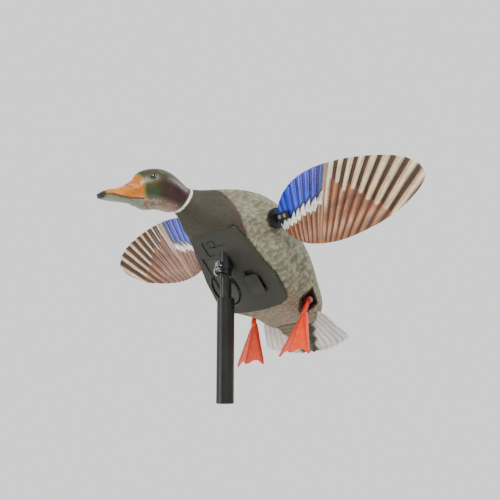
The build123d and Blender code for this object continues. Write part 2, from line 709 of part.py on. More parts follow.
# --- cradle of the motor on the tub, with its two straps and four screws ---
CRADLE_HALF = 29.0
CRADLE_TOP = -8.0
STRAP_Y = (-15.0, 15.0)
STRAP_WIDE = 8.0
STRAP_SCREW_R = 1.5
STRAP_SCREW_B = 24.5
with BuildPart() as motor_cradle:
    with BuildSketch(deck(TUB_TOP)):
        Rectangle(2 * MOTOR_R, 44)
    extrude(amount=CRADLE_TOP - TUB_TOP)
    with BuildSketch(deck(CRADLE_TOP - 6)):
        Rectangle(2 * CRADLE_HALF, 44)
    extrude(amount=6)
    rod(athwart(-40), MOTOR_R, 80, Mode.SUBTRACT)
    with BuildSketch(deck(CRADLE_TOP - 6)):
        for y in STRAP_Y:
            with Locations((STRAP_SCREW_B, y), (-STRAP_SCREW_B, y)):
                Circle(STRAP_SCREW_R)
    extrude(amount=6, mode=Mode.SUBTRACT)
save("motor_cradle", motor_cradle)

with BuildPart() as motor_straps:
    for y in STRAP_Y:
        rod(athwart(y - STRAP_WIDE / 2), MOTOR_R + 1.6, STRAP_WIDE)
    with BuildSketch(deck(CRADLE_TOP - 30)):
        Rectangle(60, 60)
    extrude(amount=30, mode=Mode.SUBTRACT)
    for y in STRAP_Y:
        with BuildSketch(deck(CRADLE_TOP)):
            with Locations((0, y)):
                Rectangle(2 * CRADLE_HALF, STRAP_WIDE)
            with Locations((STRAP_SCREW_B, y), (-STRAP_SCREW_B, y)):
                Circle(STRAP_SCREW_R, mode=Mode.SUBTRACT)
        extrude(amount=1.6)
    rod(athwart(-40), MOTOR_R, 80, Mode.SUBTRACT)
save("motor_straps", motor_straps)

with BuildPart() as strap_screws:
    with BuildSketch(deck(CRADLE_TOP + 1.6)):
        for y in STRAP_Y:
            with Locations((STRAP_SCREW_B, y), (-STRAP_SCREW_B, y)):
                Circle(2.8)
    extrude(amount=2)
    with BuildSketch(deck(CRADLE_TOP - 6)):
        for y in STRAP_Y:
            with Locations((STRAP_SCREW_B, y), (-STRAP_SCREW_B, y)):
                Circle(STRAP_SCREW_R)
    extrude(amount=7.6)
save("strap_screws", strap_screws)

# --- wing axle, its flank bushings, hubs, blades, backplates and screws ---
HUB_END = HUB_FACE + HUB_THICK
with BuildPart() as wing_shaft:
    rod(athwart(-HUB_END), SHAFT_R, 2 * HUB_END)
save("wing_shaft", wing_shaft)

with BuildPart() as flank_bushings:
    for side in (-1, 1):
        rod(athwart(70 if side > 0 else -BUSHING_LIP), 8.5, BUSHING_LIP - 70)
    add(hull_solid.part, mode=Mode.SUBTRACT)
    for side in (-1, 1):
        rod(athwart(62 if side > 0 else -BUSHING_LIP), BUSHING_R, BUSHING_LIP - 62)
    rod(athwart(-80), SHAFT_R + RUN, 160, Mode.SUBTRACT)
save("flank_bushings", flank_bushings)

TONGUE_LIFT = WING_THICK / 2
TONGUE_THICK = 4.0
BACK_THICK = 2.0


def wing_outline(side):
    """Blade outline on the wing plane, for the left (1) or the right (-1) wing."""
    edge = [
        (84, 9), (95, 24), (117, 39), (145, 48.5), (185, 51.5), (235, 47.5), (285, 37.5), (322, 24.5),
        (339, 12), (WING_TIP, 1), (339, -10), (322, -22), (285, -38), (235, -49), (185, -54),
        (145, -51), (117, -43), (95, -27), (84, -11),
    ]
    with BuildLine() as outline:
        Spline(*[(side * x, y) for x, y in edge])
        Line((side * WING_ROOT, -11), (side * WING_ROOT, 9))
    make_face(outline.edges())


for name, side in (("left", 1), ("right", -1)):
    with BuildPart() as hub:
        rod(athwart(HUB_FACE if side > 0 else -HUB_END), HUB_D / 2, HUB_THICK)
        with BuildSketch(WINGS.offset(TONGUE_LIFT)):
            with Locations((side * (HUB_FACE + 1 + TONGUE_END) / 2, 0)):
                RectangleRounded(TONGUE_END - HUB_FACE - 1, TONGUE_WIDTH, 2)
            with Locations(*[(side * x, 0) for x in WING_SCREWS]):
                Circle(WING_SCREW_D / 2, mode=Mode.SUBTRACT)
        extrude(amount=TONGUE_THICK)
        rod(athwart(-HUB_END), SHAFT_R, 2 * HUB_END, Mode.SUBTRACT)
    save(f"{name}_hub", hub)

    with BuildPart() as wing:
        with BuildSketch(WINGS.offset(-WING_THICK / 2)):
            wing_outline(side)
            with Locations(*[(side * x, 0) for x in WING_SCREWS]):
                Circle(WING_SCREW_D / 2, mode=Mode.SUBTRACT)
        extrude(amount=WING_THICK)
    save(f"{name}_wing", wing)

with BuildPart() as wing_backplates:
    with BuildSketch(WINGS.offset(-WING_THICK / 2 - BACK_THICK)):
        for side in (-1, 1):
            with Locations((side * 97, 0)):
                RectangleRounded(21, TONGUE_WIDTH, 2)
            with Locations(*[(side * x, 0) for x in WING_SCREWS]):
                Circle(WING_SCREW_D / 2, mode=Mode.SUBTRACT)
    extrude(amount=BACK_THICK)
save("wing_backplates", wing_backplates)

with BuildPart() as wing_screws:
    with BuildSketch(WINGS.offset(-WING_THICK / 2 - BACK_THICK)):
        with Locations(*[(side * x, 0) for side in (-1, 1) for x in WING_SCREWS]):
            Circle(WING_SCREW_D / 2)
    extrude(amount=BACK_THICK + WING_THICK + TONGUE_THICK)
    with BuildSketch(WINGS.offset(TONGUE_LIFT + TONGUE_THICK)):
        with Locations(*[(side * x, 0) for side in (-1, 1) for x in WING_SCREWS]):
            Circle(2.9)
    extrude(amount=2)
save("wing_screws", wing_screws)

# --- legs: rubber shank and web that hang on a pin in a socket in each flank ---
LEG_EYE_R = 5.5
SHANK_END = 24.0
WEB_END = 88.0
pin_ends = (SOCKET_Y + SOCKET_WALL, LEG_Y + 6)


def leg_plane(pivot, lean, distance):
    """Plane across a leg at a distance from its pivot: x is left, y is forward."""
    angle = math.radians(lean)
    down = Vector(math.sin(angle), 0, -math.cos(angle))
    return Plane(origin=pivot + down * distance, x_dir=(0, 1, 0), z_dir=down)


def web_section(half, sweep, thick):
    """A shallow roof: the middle toe is its ridge and the side toes its eaves."""
    Polygon(
        (-half, -sweep), (0, 0), (half, -sweep),
        (half, -sweep - thick), (0, -thick - 0.6), (-half, -sweep - thick),
        align=None,
    )


for name, side in (("left", 1), ("right", -1)):
    pivot = BODY.from_local_coords((LEG_B, side * LEG_Y, LEG_H))
    lean = LEG_LEAN[name]
    with BuildPart() as socket:
        with BuildSketch(deck(SOCKET_H[0])):
            with Locations(((SOCKET_B[0] + SOCKET_B[1]) / 2, side * (SOCKET_Y + 90) / 2)):
                Rectangle(SOCKET_B[1] - SOCKET_B[0], 90 - SOCKET_Y)
        extrude(amount=SOCKET_H[1] - SOCKET_H[0])
        add(hull_solid.part, mode=Mode.INTERSECT)
        with BuildSketch(deck(SOCKET_H[0] + SOCKET_WALL)):
            with Locations(((SOCKET_B[0] + SOCKET_B[1]) / 2, side * (SOCKET_Y + SOCKET_WALL + 45))):
                Rectangle(SOCKET_B[1] - SOCKET_B[0] - 2 * SOCKET_WALL, 90)
        extrude(amount=SOCKET_H[1] - SOCKET_H[0] - 2 * SOCKET_WALL, mode=Mode.SUBTRACT)
    save(f"{name}_leg_socket", socket)

    with BuildPart() as leg_pin:
        rod(athwart(pin_ends[0] if side > 0 else -pin_ends[1], pivot), LEG_PIN_D / 2,
            pin_ends[1] - pin_ends[0])
        rod(athwart(pin_ends[1] - 1.2 if side > 0 else -pin_ends[1], pivot), 3.2, 1.2)
    save(f"{name}_leg_pin", leg_pin)

    with BuildPart() as leg:
        rod(athwart(side * LEG_Y - 4.5, pivot), LEG_EYE_R, 9)
        with BuildSketch(leg_plane(pivot, lean, 2)):
            Ellipse(4.5, 4.5)
        with BuildSketch(leg_plane(pivot, lean, SHANK_END)):
            Ellipse(5.2, 3.4)
        loft()
        with BuildSketch(leg_plane(pivot, lean, SHANK_END - 3)):
            web_section(5, 1, 4)
        with BuildSketch(leg_plane(pivot, lean, WEB_END)):
            web_section(31, 9, 2.4)
        loft(ruled=True)
        toe_gaps = leg_plane(pivot, lean, WEB_END + 9)
        with BuildSketch(Plane(origin=toe_gaps.origin + toe_gaps.y_dir * 20, x_dir=(0, 1, 0),
                               z_dir=toe_gaps.y_dir * -1)):
            with Locations((-16, 0), (16, 0)):
                Circle(14.5)
        extrude(amount=60, mode=Mode.SUBTRACT)
        rod(athwart(side * LEG_Y - 20, pivot), LEG_PIN_D / 2 + RUN, 40, Mode.SUBTRACT)
    save(f"{name}_leg", leg)

# --- two motor leads, from the end bell down through the tub's top to the board ---
LEAD_H = TUB_TOP - TUB_WALL - LEAD_R - 0.6
with BuildPart() as motor_leads:
    for k in range(2):
        b, y = lead_bend(k)
        shift = LEAD_PITCH * k
        spots = [
            (b, -MOTOR_HALF, 4), (b, y, 4), (b, y, LEAD_H), (-44 - shift, y, LEAD_H),
            (-44 - shift, 26 - shift, LEAD_H), (-58, 26 - shift, LEAD_H), (-58, 26 - shift, BOARD_TOP),
        ]
        points = [BODY.from_local_coords(spot) for spot in spots]
        with BuildLine() as route:
            FilletPolyline(*points, radius=[4.4, 3, 10, 6, 1.2])
        with BuildSketch(across(b, -MOTOR_HALF, 4)) as wire:
            Circle(LEAD_R)
        sweep(wire.sketch.face(), path=route.wire())
save("motor_leads", motor_leads)
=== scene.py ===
"""Looks of a spinning-wing drake decoy on its pole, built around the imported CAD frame."""

import logging
import math
from dataclasses import dataclass
from enum import Enum

import bmesh
import bpy
import numpy as np
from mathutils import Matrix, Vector


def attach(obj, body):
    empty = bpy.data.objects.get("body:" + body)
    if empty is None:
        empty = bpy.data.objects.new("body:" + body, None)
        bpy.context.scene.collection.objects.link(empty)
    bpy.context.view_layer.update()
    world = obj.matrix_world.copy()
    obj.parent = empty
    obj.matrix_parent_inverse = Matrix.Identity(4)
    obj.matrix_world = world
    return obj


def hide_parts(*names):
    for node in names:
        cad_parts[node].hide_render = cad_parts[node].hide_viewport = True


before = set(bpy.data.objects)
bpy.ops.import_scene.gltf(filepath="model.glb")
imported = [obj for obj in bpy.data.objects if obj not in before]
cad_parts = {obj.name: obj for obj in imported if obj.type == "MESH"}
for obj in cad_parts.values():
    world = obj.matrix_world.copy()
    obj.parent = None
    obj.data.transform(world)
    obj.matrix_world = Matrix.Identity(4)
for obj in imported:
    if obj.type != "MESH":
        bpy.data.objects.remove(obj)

LOG = logging.getLogger("decoy")
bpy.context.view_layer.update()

AXLE = np.array([-30.0, 0.0, 260.0])  # centre of the wing axle, mm
PITCH = math.radians(50)  # nose-up angle of the body's floor
WING_SPIN = math.radians(20)  # turn of the blades from upright at rest
PAINT = "Paint"  # colour attribute that carries a piece's painted pattern
STRAND = "Strand"  # vector attribute that runs along feathers, in mm


def linear(code: str) -> np.ndarray:
    """Turn an sRGB hex colour into linear red, green, blue and alpha.

    Args:
        code: six hex digits with a leading hash.

    Returns:
        Four floats, with alpha 1.
    """
    rgb = np.array([int(code[i:i + 2], 16) / 255 for i in (1, 3, 5)])
    rgb = np.where(rgb <= 0.04045, rgb / 12.92, ((rgb + 0.055) / 1.055) ** 2.4)
    return np.append(rgb, 1.0)


def step(low: float, high: float, value: np.ndarray) -> np.ndarray:
    """Smooth ramp from 0 at low to 1 at high."""
    t = np.clip((value - low) / (high - low), 0, 1)
    return t * t * (3 - 2 * t)


def near(value: np.ndarray, centre: float, width: float) -> np.ndarray:
    """Bell that is 1 at the centre and falls off over the width."""
    return np.exp(-((value - centre) / width) ** 2)


def scatter(*keys: np.ndarray) -> np.ndarray:
    """Repeatable random number from 0 to 1 for each set of whole numbers."""
    total = sum(np.asarray(key) * weight for key, weight in zip(keys, (12.9898, 78.233, 37.719)))
    noise = np.sin(total) * 43758.5453
    return noise - np.floor(noise)


def blend(base: np.ndarray, code: str, amount: np.ndarray) -> np.ndarray:
    """Lay a colour over painted vertices.

    Args:
        base: one linear colour per vertex.
        code: sRGB hex colour to lay on.
        amount: cover of each vertex, 0 to 1.

    Returns:
        The new colours.
    """
    cover = np.clip(amount, 0, 1)[:, None]
    return base * (1 - cover) + linear(code)[None, :] * cover


def flat(code: str, count: int) -> np.ndarray:
    """One colour for each of a number of vertices."""
    return np.tile(linear(code), (count, 1))


# ---------------------------------------------------------------- finishes


class Source(Enum):
    """Where a finish takes its colour from."""

    TINTS = "two tints in soft patches"
    PAINTED = "the piece's painted attribute"


def add(tree: bpy.types.NodeTree, kind: str, inputs: dict, **settings) -> bpy.types.Node:
    """Add a shader node with its settings and inputs.

    Args:
        tree: node tree that gets the node.
        kind: Blender's type name of the node.
        inputs: socket name or number to a value, or to an output socket to link.
        settings: properties of the node itself.

    Returns:
        The new node.
    """
    node = tree.nodes.new(kind)
    for name, value in settings.items():
        setattr(node, name, value)
    for key, value in inputs.items():
        if isinstance(value, bpy.types.NodeSocket):
            tree.links.new(value, node.inputs[key])
        else:
            node.inputs[key].default_value = value
    return node


@dataclass(frozen=True)
class Finish:
    """A real surface: its colours, gloss and the scale of its texture."""

    name: str
    low: str = "#202020"
    high: str = "#2c2c2c"
    rough: tuple[float, float] = (0.45, 0.6)
    metallic: float = 0.0
    grain_mm: float = 0.8
    relief_mm: float = 0.05
    patch_mm: float = 14.0
    stretch: tuple[float, float, float] = (1.0, 1.0, 1.0)
    coat: float = 0.0
    coat_rough: float = 0.1
    source: Source = Source.TINTS
    streaks: float = 0.35

    def material(self) -> bpy.types.Material:
        """Build the node material.

        Returns:
            The material, made once and then reused.
        """
        made = bpy.data.materials.get(self.name)
        if made:
            return made
        made = bpy.data.materials.new(self.name)
        made.use_nodes = True
        tree = made.node_tree
        tree.nodes.clear()
        place = add(tree, "ShaderNodeTexCoord", {})
        spot = add(tree, "ShaderNodeMapping", {"Vector": place.outputs["Object"], "Scale": self.stretch})
        patches = add(tree, "ShaderNodeTexNoise",
                      {"Vector": spot.outputs[0], "Scale": 1000 / self.patch_mm, "Detail": 5.0,
                       "Roughness": 0.6})
        grain = add(tree, "ShaderNodeTexNoise",
                    {"Vector": spot.outputs[0], "Scale": 1000 / self.grain_mm, "Detail": 3.0})
        if self.source is Source.PAINTED:
            colour = self.painted_colour(tree, patches, grain)
        else:
            ramp = add(tree, "ShaderNodeMapRange",
                       {"Value": patches.outputs["Fac"], "From Min": 0.35, "From Max": 0.65})
            mix = add(tree, "ShaderNodeMix",
                      {"Factor": ramp.outputs[0], 6: linear(self.low), 7: linear(self.high)},
                      data_type="RGBA")
            colour = mix.outputs[2]
        gloss = add(tree, "ShaderNodeMapRange",
                    {"Value": patches.outputs["Fac"], "From Min": 0.3, "From Max": 0.7,
                     "To Min": self.rough[0], "To Max": self.rough[1]})
        bump = add(tree, "ShaderNodeBump",
                   {"Height": grain.outputs["Fac"], "Distance": self.relief_mm / 1000,
                    "Strength": 0.8})
        shader = add(tree, "ShaderNodeBsdfPrincipled",
                     {"Base Color": colour, "Roughness": gloss.outputs[0], "Metallic": self.metallic,
                      "Normal": bump.outputs[0], "Coat Weight": self.coat,
                      "Coat Roughness": self.coat_rough})
        add(tree, "ShaderNodeOutputMaterial", {"Surface": shader.outputs[0]})
        return made

    def painted_colour(self, tree: bpy.types.NodeTree, patches: bpy.types.Node,
                       grain: bpy.types.Node) -> bpy.types.NodeSocket:
        """Painted attribute, streaked along the feathers and clouded by the patches.

        Args:
            tree: node tree of the material.
            patches: noise node of the large soft patches.
            grain: noise node of the fine grain.

        Returns:
            The colour socket.
        """
        paint = add(tree, "ShaderNodeAttribute", {}, attribute_name=PAINT)
        strand = add(tree, "ShaderNodeAttribute", {}, attribute_name=STRAND)
        barbs = add(tree, "ShaderNodeTexNoise",
                    {"Vector": strand.outputs["Vector"], "Scale": 1.0, "Detail": 4.0})
        dark = add(tree, "ShaderNodeMapRange",
                   {"Value": barbs.outputs["Fac"], "From Min": 0.35, "From Max": 0.7,
                    "To Min": 1 - self.streaks, "To Max": 1 + self.streaks})
        cloud = add(tree, "ShaderNodeMapRange",
                    {"Value": patches.outputs["Fac"], "From Min": 0.3, "From Max": 0.7,
                     "To Min": 0.86, "To Max": 1.12})
        both = add(tree, "ShaderNodeMath", {0: dark.outputs[0], 1: cloud.outputs[0]},
                   operation="MULTIPLY")
        speck = add(tree, "ShaderNodeMapRange",
                    {"Value": grain.outputs["Fac"], "From Min": 0.3, "From Max": 0.7,
                     "To Min": 0.92, "To Max": 1.08})
        whole = add(tree, "ShaderNodeMath", {0: both.outputs[0], 1: speck.outputs[0]},
                    operation="MULTIPLY")
        scaled = add(tree, "ShaderNodeVectorMath",
                     {0: paint.outputs["Color"], "Scale": whole.outputs[0]}, operation="SCALE")
        return scaled.outputs[0]


# Blow-moulded polyethylene with matt flat paint: feather paint, chalky and a little uneven.
FEATHER_PAINT = Finish("matt_feather_paint", rough=(0.62, 0.82), grain_mm=1.6, relief_mm=0.25,
                       patch_mm=22, source=Source.PAINTED, streaks=0.3)
# The head carries a satin lacquer over its iridescent paint.
HEAD_PAINT = Finish("satin_head_lacquer", rough=(0.32, 0.5), grain_mm=1.2, relief_mm=0.18,
                    patch_mm=12, source=Source.PAINTED, streaks=0.28, coat=0.15, coat_rough=0.3)
# Printed film on a flat plastic blade: glossy, with fine shafts.
WING_PRINT = Finish("glossy_printed_film", rough=(0.2, 0.32), grain_mm=3.0, relief_mm=0.03,
                    patch_mm=26, source=Source.PAINTED, streaks=0.4, coat=0.6, coat_rough=0.06)
# Flexible tail plastic, painted white.
TAIL_PAINT = Finish("matt_tail_paint", rough=(0.6, 0.75), grain_mm=1.5, relief_mm=0.12,
                    patch_mm=18, source=Source.PAINTED, streaks=0.12)
# Soft PVC feet: self-coloured with a slight sheen.
FOOT_VINYL = Finish("soft_orange_vinyl", rough=(0.38, 0.5), grain_mm=1.2, relief_mm=0.1,
                    patch_mm=9, source=Source.PAINTED, streaks=0.12)
# Acrylic eye, clear-coated.
EYE_GLOSS = Finish("clear_coated_eye", "#120c08", "#24160c", (0.05, 0.09), coat=1.0,
                   coat_rough=0.03, patch_mm=3, relief_mm=0.0)
LID_PAINT = Finish("dark_lid_paint", "#2c2a16", "#3a3620", (0.5, 0.6), patch_mm=3)

# Glass-filled nylon and ABS mouldings: fine spark texture, olive drab.
OLIVE_ABS = Finish("olive_spark_textured_abs", "#26271c", "#303124", (0.5, 0.64), grain_mm=0.9,
                   relief_mm=0.09, patch_mm=26)
OLIVE_LID = Finish("olive_smooth_abs", "#2a2b20", "#343528", (0.4, 0.52), grain_mm=0.9,
                   relief_mm=0.05, patch_mm=18)
BLACK_NYLON = Finish("black_moulded_nylon", "#0c0c0c", "#181817", (0.35, 0.5), grain_mm=0.7,
                     relief_mm=0.05)
BLACK_ABS = Finish("black_smooth_abs", "#0e0e0e", "#161616", (0.28, 0.4), grain_mm=0.6, relief_mm=0.03)
BROWN_ABS = Finish("brown_moulded_abs", "#2c1c12", "#3a281a", (0.55, 0.7), grain_mm=0.9)
# Powder-coated steel tube: black-olive with a soft sheen and handling marks along it.
POLE_COAT = Finish("black_olive_powder_coat", "#0e0e09", "#16150f", (0.3, 0.46), grain_mm=0.7,
                   relief_mm=0.06, patch_mm=20, stretch=(1, 1, 0.25))
POST_COAT = Finish("worn_black_paint", "#11110f", "#1e1d1a", (0.28, 0.45), grain_mm=0.8,
                   relief_mm=0.05, stretch=(1, 1, 0.3), coat=0.15)
CHROME = Finish("bright_chrome_plate", "#b8bbc0", "#d2d4d8", (0.08, 0.16), 1.0, grain_mm=2,
                relief_mm=0.01, patch_mm=8)
BLACK_CHROME = Finish("black_oxide_wire", "#1c1c20", "#34343a", (0.16, 0.3), 1.0, grain_mm=1.2,
                      relief_mm=0.02, patch_mm=8)
ZINC = Finish("zinc_plated_steel", "#8d8f90", "#a9abab", (0.28, 0.42), 1.0, grain_mm=0.6,
              relief_mm=0.02, patch_mm=5)
NICKEL_CAN = Finish("nickel_plated_can", "#9a9a98", "#b4b3ae", (0.22, 0.36), 1.0, grain_mm=0.8,
                    relief_mm=0.02, stretch=(1, 0.2, 1))
GROUND_STEEL = Finish("ground_shaft_steel", "#a2a4a6", "#bcbec0", (0.18, 0.3), 1.0, grain_mm=0.4,
                      relief_mm=0.02, stretch=(1, 0.15, 1))
BRONZE = Finish("sintered_bronze", "#8a6a3c", "#a07c48", (0.4, 0.55), 1.0, grain_mm=0.5)
COPPER = Finish("turned_copper", "#b06a44", "#c88058", (0.25, 0.35), 1.0, grain_mm=0.5)
FERRITE = Finish("grey_ferrite", "#26272a", "#333438", (0.55, 0.7), grain_mm=0.5)
CORE = Finish("varnished_laminations", "#4a3c30", "#62503e", (0.35, 0.5), 0.6, grain_mm=0.5,
              stretch=(1, 6, 1))
CARBON = Finish("pressed_carbon", "#101010", "#1c1c1c", (0.5, 0.65), grain_mm=0.4)
SOLDER_MASK = Finish("green_solder_mask", "#0c4a22", "#135c2c", (0.25, 0.35), grain_mm=1.5,
                     relief_mm=0.02, coat=0.5)
CELL_WRAP = Finish("blue_shrink_wrap", "#123c7a", "#1a4c92", (0.2, 0.3), grain_mm=3, relief_mm=0.02,
                   coat=0.5)
LEAD_SLEEVE = Finish("red_pvc_sleeve", "#7c1010", "#921818", (0.35, 0.45), grain_mm=1.0)

NODE_FINISHES = {
    OLIVE_ABS: ["base_housing"],
    OLIVE_LID: ["battery_door", "charge_flap"],
    BLACK_NYLON: ["pole_bush", "left_hub", "right_hub", "wing_backplates", "flank_bushings",
                  "motor_cradle"],
    BLACK_ABS: ["power_rocker", "switch_case", "charge_jack", "motor_end_bell"],
    BROWN_ABS: ["left_leg_socket", "right_leg_socket"],
    POLE_COAT: ["pole"],
    POST_COAT: ["post", "post_receiver"],
    CHROME: ["lock_pin", "pin_link"],
    BLACK_CHROME: ["pull_ring"],
    ZINC: ["board_screws", "strap_screws", "wing_screws", "door_hinge_pin", "flap_hinge_pin",
           "left_leg_pin", "right_leg_pin"],
    NICKEL_CAN: ["motor_can", "motor_straps"],
    GROUND_STEEL: ["wing_shaft"],
    BRONZE: ["motor_bearings"],
    COPPER: ["commutator"],
    FERRITE: ["motor_magnets"],
    CORE: ["rotor_core"],
    CARBON: ["motor_brushes"],
    SOLDER_MASK: ["receiver_board"],
    CELL_WRAP: ["battery_cells"],
    LEAD_SLEEVE: ["motor_leads"],
}


def dress(piece: bpy.types.Object, finish: Finish) -> None:
    """Give every material slot of a piece one finish.

    Args:
        piece: mesh object.
        finish: surface to put on it.
    """
    if not piece.material_slots:
        piece.data.materials.append(finish.material())
    for holder in piece.material_slots:
        holder.material = finish.material()


# ---------------------------------------------------------------- mesh helpers


def select_only(piece: bpy.types.Object) -> None:
    """Deselect everything, then make one object selected and active."""
    bpy.ops.object.select_all(action="DESELECT")
    piece.select_set(True)
    bpy.context.view_layer.objects.active = piece


def apply_modifier(piece: bpy.types.Object, kind: str, **settings) -> None:
    """Add a modifier to a piece and apply it.

    Args:
        piece: mesh object.
        kind: Blender's type name of the modifier.
        settings: properties of the modifier.
    """
    select_only(piece)
    modifier = piece.modifiers.new(kind.lower(), kind)
    for name, value in settings.items():
        setattr(modifier, name, value)
    bpy.ops.object.modifier_apply(modifier=modifier.name)


def skin_of(node: str, name: str, voxel_mm: float, smoothing: int) -> bpy.types.Object:
    """Make an evenly meshed, softened copy of a CAD node to sculpt and paint.

    Args:
        node: CAD node that gives the shape.
        name: name of the new piece.
        voxel_mm: edge length of the new mesh.
        smoothing: number of smoothing passes.

    Returns:
        The new piece, with smooth shading.
    """
    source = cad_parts[node]
    piece = bpy.data.objects.new(name, source.data.copy())
    bpy.context.scene.collection.objects.link(piece)
    piece.data.name = name
    merged = bmesh.new()
    merged.from_mesh(piece.data)
    bmesh.ops.remove_doubles(merged, verts=merged.verts, dist=1e-6)
    merged.to_mesh(piece.data)
    merged.free()
    apply_modifier(piece, "REMESH", mode="VOXEL", voxel_size=voxel_mm / 1000)
    if smoothing:
        apply_modifier(piece, "SMOOTH", factor=0.5, iterations=smoothing)
    select_only(piece)
    bpy.ops.object.shade_smooth()
    piece.data.materials.clear()
    return piece


def points(piece: bpy.types.Object) -> np.ndarray:
    """Places of a piece's vertices, in mm."""
    co = np.empty(len(piece.data.vertices) * 3, np.float32)
    piece.data.vertices.foreach_get("co", co)
    return co.reshape(-1, 3).astype(float) * 1000


def normals(piece: bpy.types.Object) -> np.ndarray:
    """Directions of a piece's vertex normals."""
    direction = np.empty(len(piece.data.vertices) * 3, np.float32)
    piece.data.vertex_normals.foreach_get("vector", direction)
    return direction.reshape(-1, 3).astype(float)


def reshape(piece: bpy.types.Object, places: np.ndarray) -> None:
    """Move a piece's vertices to new places.

    Args:
        piece: mesh object.
        places: new places, in mm.
    """
    piece.data.vertices.foreach_set("co", (places / 1000).astype(np.float32).ravel())
    piece.data.update()


def store(piece: bpy.types.Object, paint: np.ndarray, strand: np.ndarray) -> None:
    """Keep painted colours and strand coordinates on a piece.

    Args:
        piece: mesh object.
        paint: linear colour of each vertex.
        strand: three coordinates of each vertex for the streaks.
    """
    colours = piece.data.color_attributes.new(PAINT, "FLOAT_COLOR", "POINT")
    colours.data.foreach_set("color", paint.astype(np.float32).ravel())
    lines = piece.data.attributes.new(STRAND, "FLOAT_VECTOR", "POINT")
    lines.data.foreach_set("vector", strand.astype(np.float32).ravel())


def body_axes(places: np.ndarray) -> tuple[np.ndarray, np.ndarray, np.ndarray]:
    """Distances ahead, left and above the axle along the body's floor.

    Args:
        places: points in mm.

    Returns:
        Three arrays in mm.
    """
    out = places - AXLE
    ahead = out[:, 0] * math.cos(PITCH) + out[:, 2] * math.sin(PITCH)
    above = -out[:, 0] * math.sin(PITCH) + out[:, 2] * math.cos(PITCH)
    return ahead, out[:, 1], above


def feather_tips(across: np.ndarray, along: np.ndarray, width: float,
                 pitch: float) -> tuple[np.ndarray, np.ndarray, np.ndarray]:
    """Rows of round overlapping feather tips.

    Args:
        across: distance round the body.
        along: distance towards the tail.
        width: width of a feather.
        pitch: distance from row to row.

    Returns:
        How near each point is to its feather's edge, how high it stands on the
        feather, and a random tone of the feather, all 0 to 1.
    """
    edge = np.zeros_like(across)
    lift = np.zeros_like(across)
    tone = np.zeros_like(across)
    taken = np.zeros(len(across), bool)
    reach = 1.3 * pitch
    first = np.floor(along / pitch)
    for back in (1, 0, -1):
        row = first - back
        offset = 0.5 * (row % 2) + 0.16 * (scatter(row, row * 3) - 0.5)
        column = np.round(across / width - offset)
        side = (across / width - offset - column) / 0.6
        run = (along - row * pitch) / reach
        distance = np.sqrt(side ** 2 + np.maximum(run, 0) ** 2)
        here = ~taken & ((distance < 1) | (back == -1))
        edge[here] = np.clip((distance[here] - 0.72) / 0.28, 0, 1)
        lift[here] = np.clip(run[here], 0, 1) * (1 - 0.35 * side[here] ** 2)
        tone[here] = scatter(row[here], column[here])
        taken |= here
    return edge, lift, tone


# ---------------------------------------------------------------- the bird


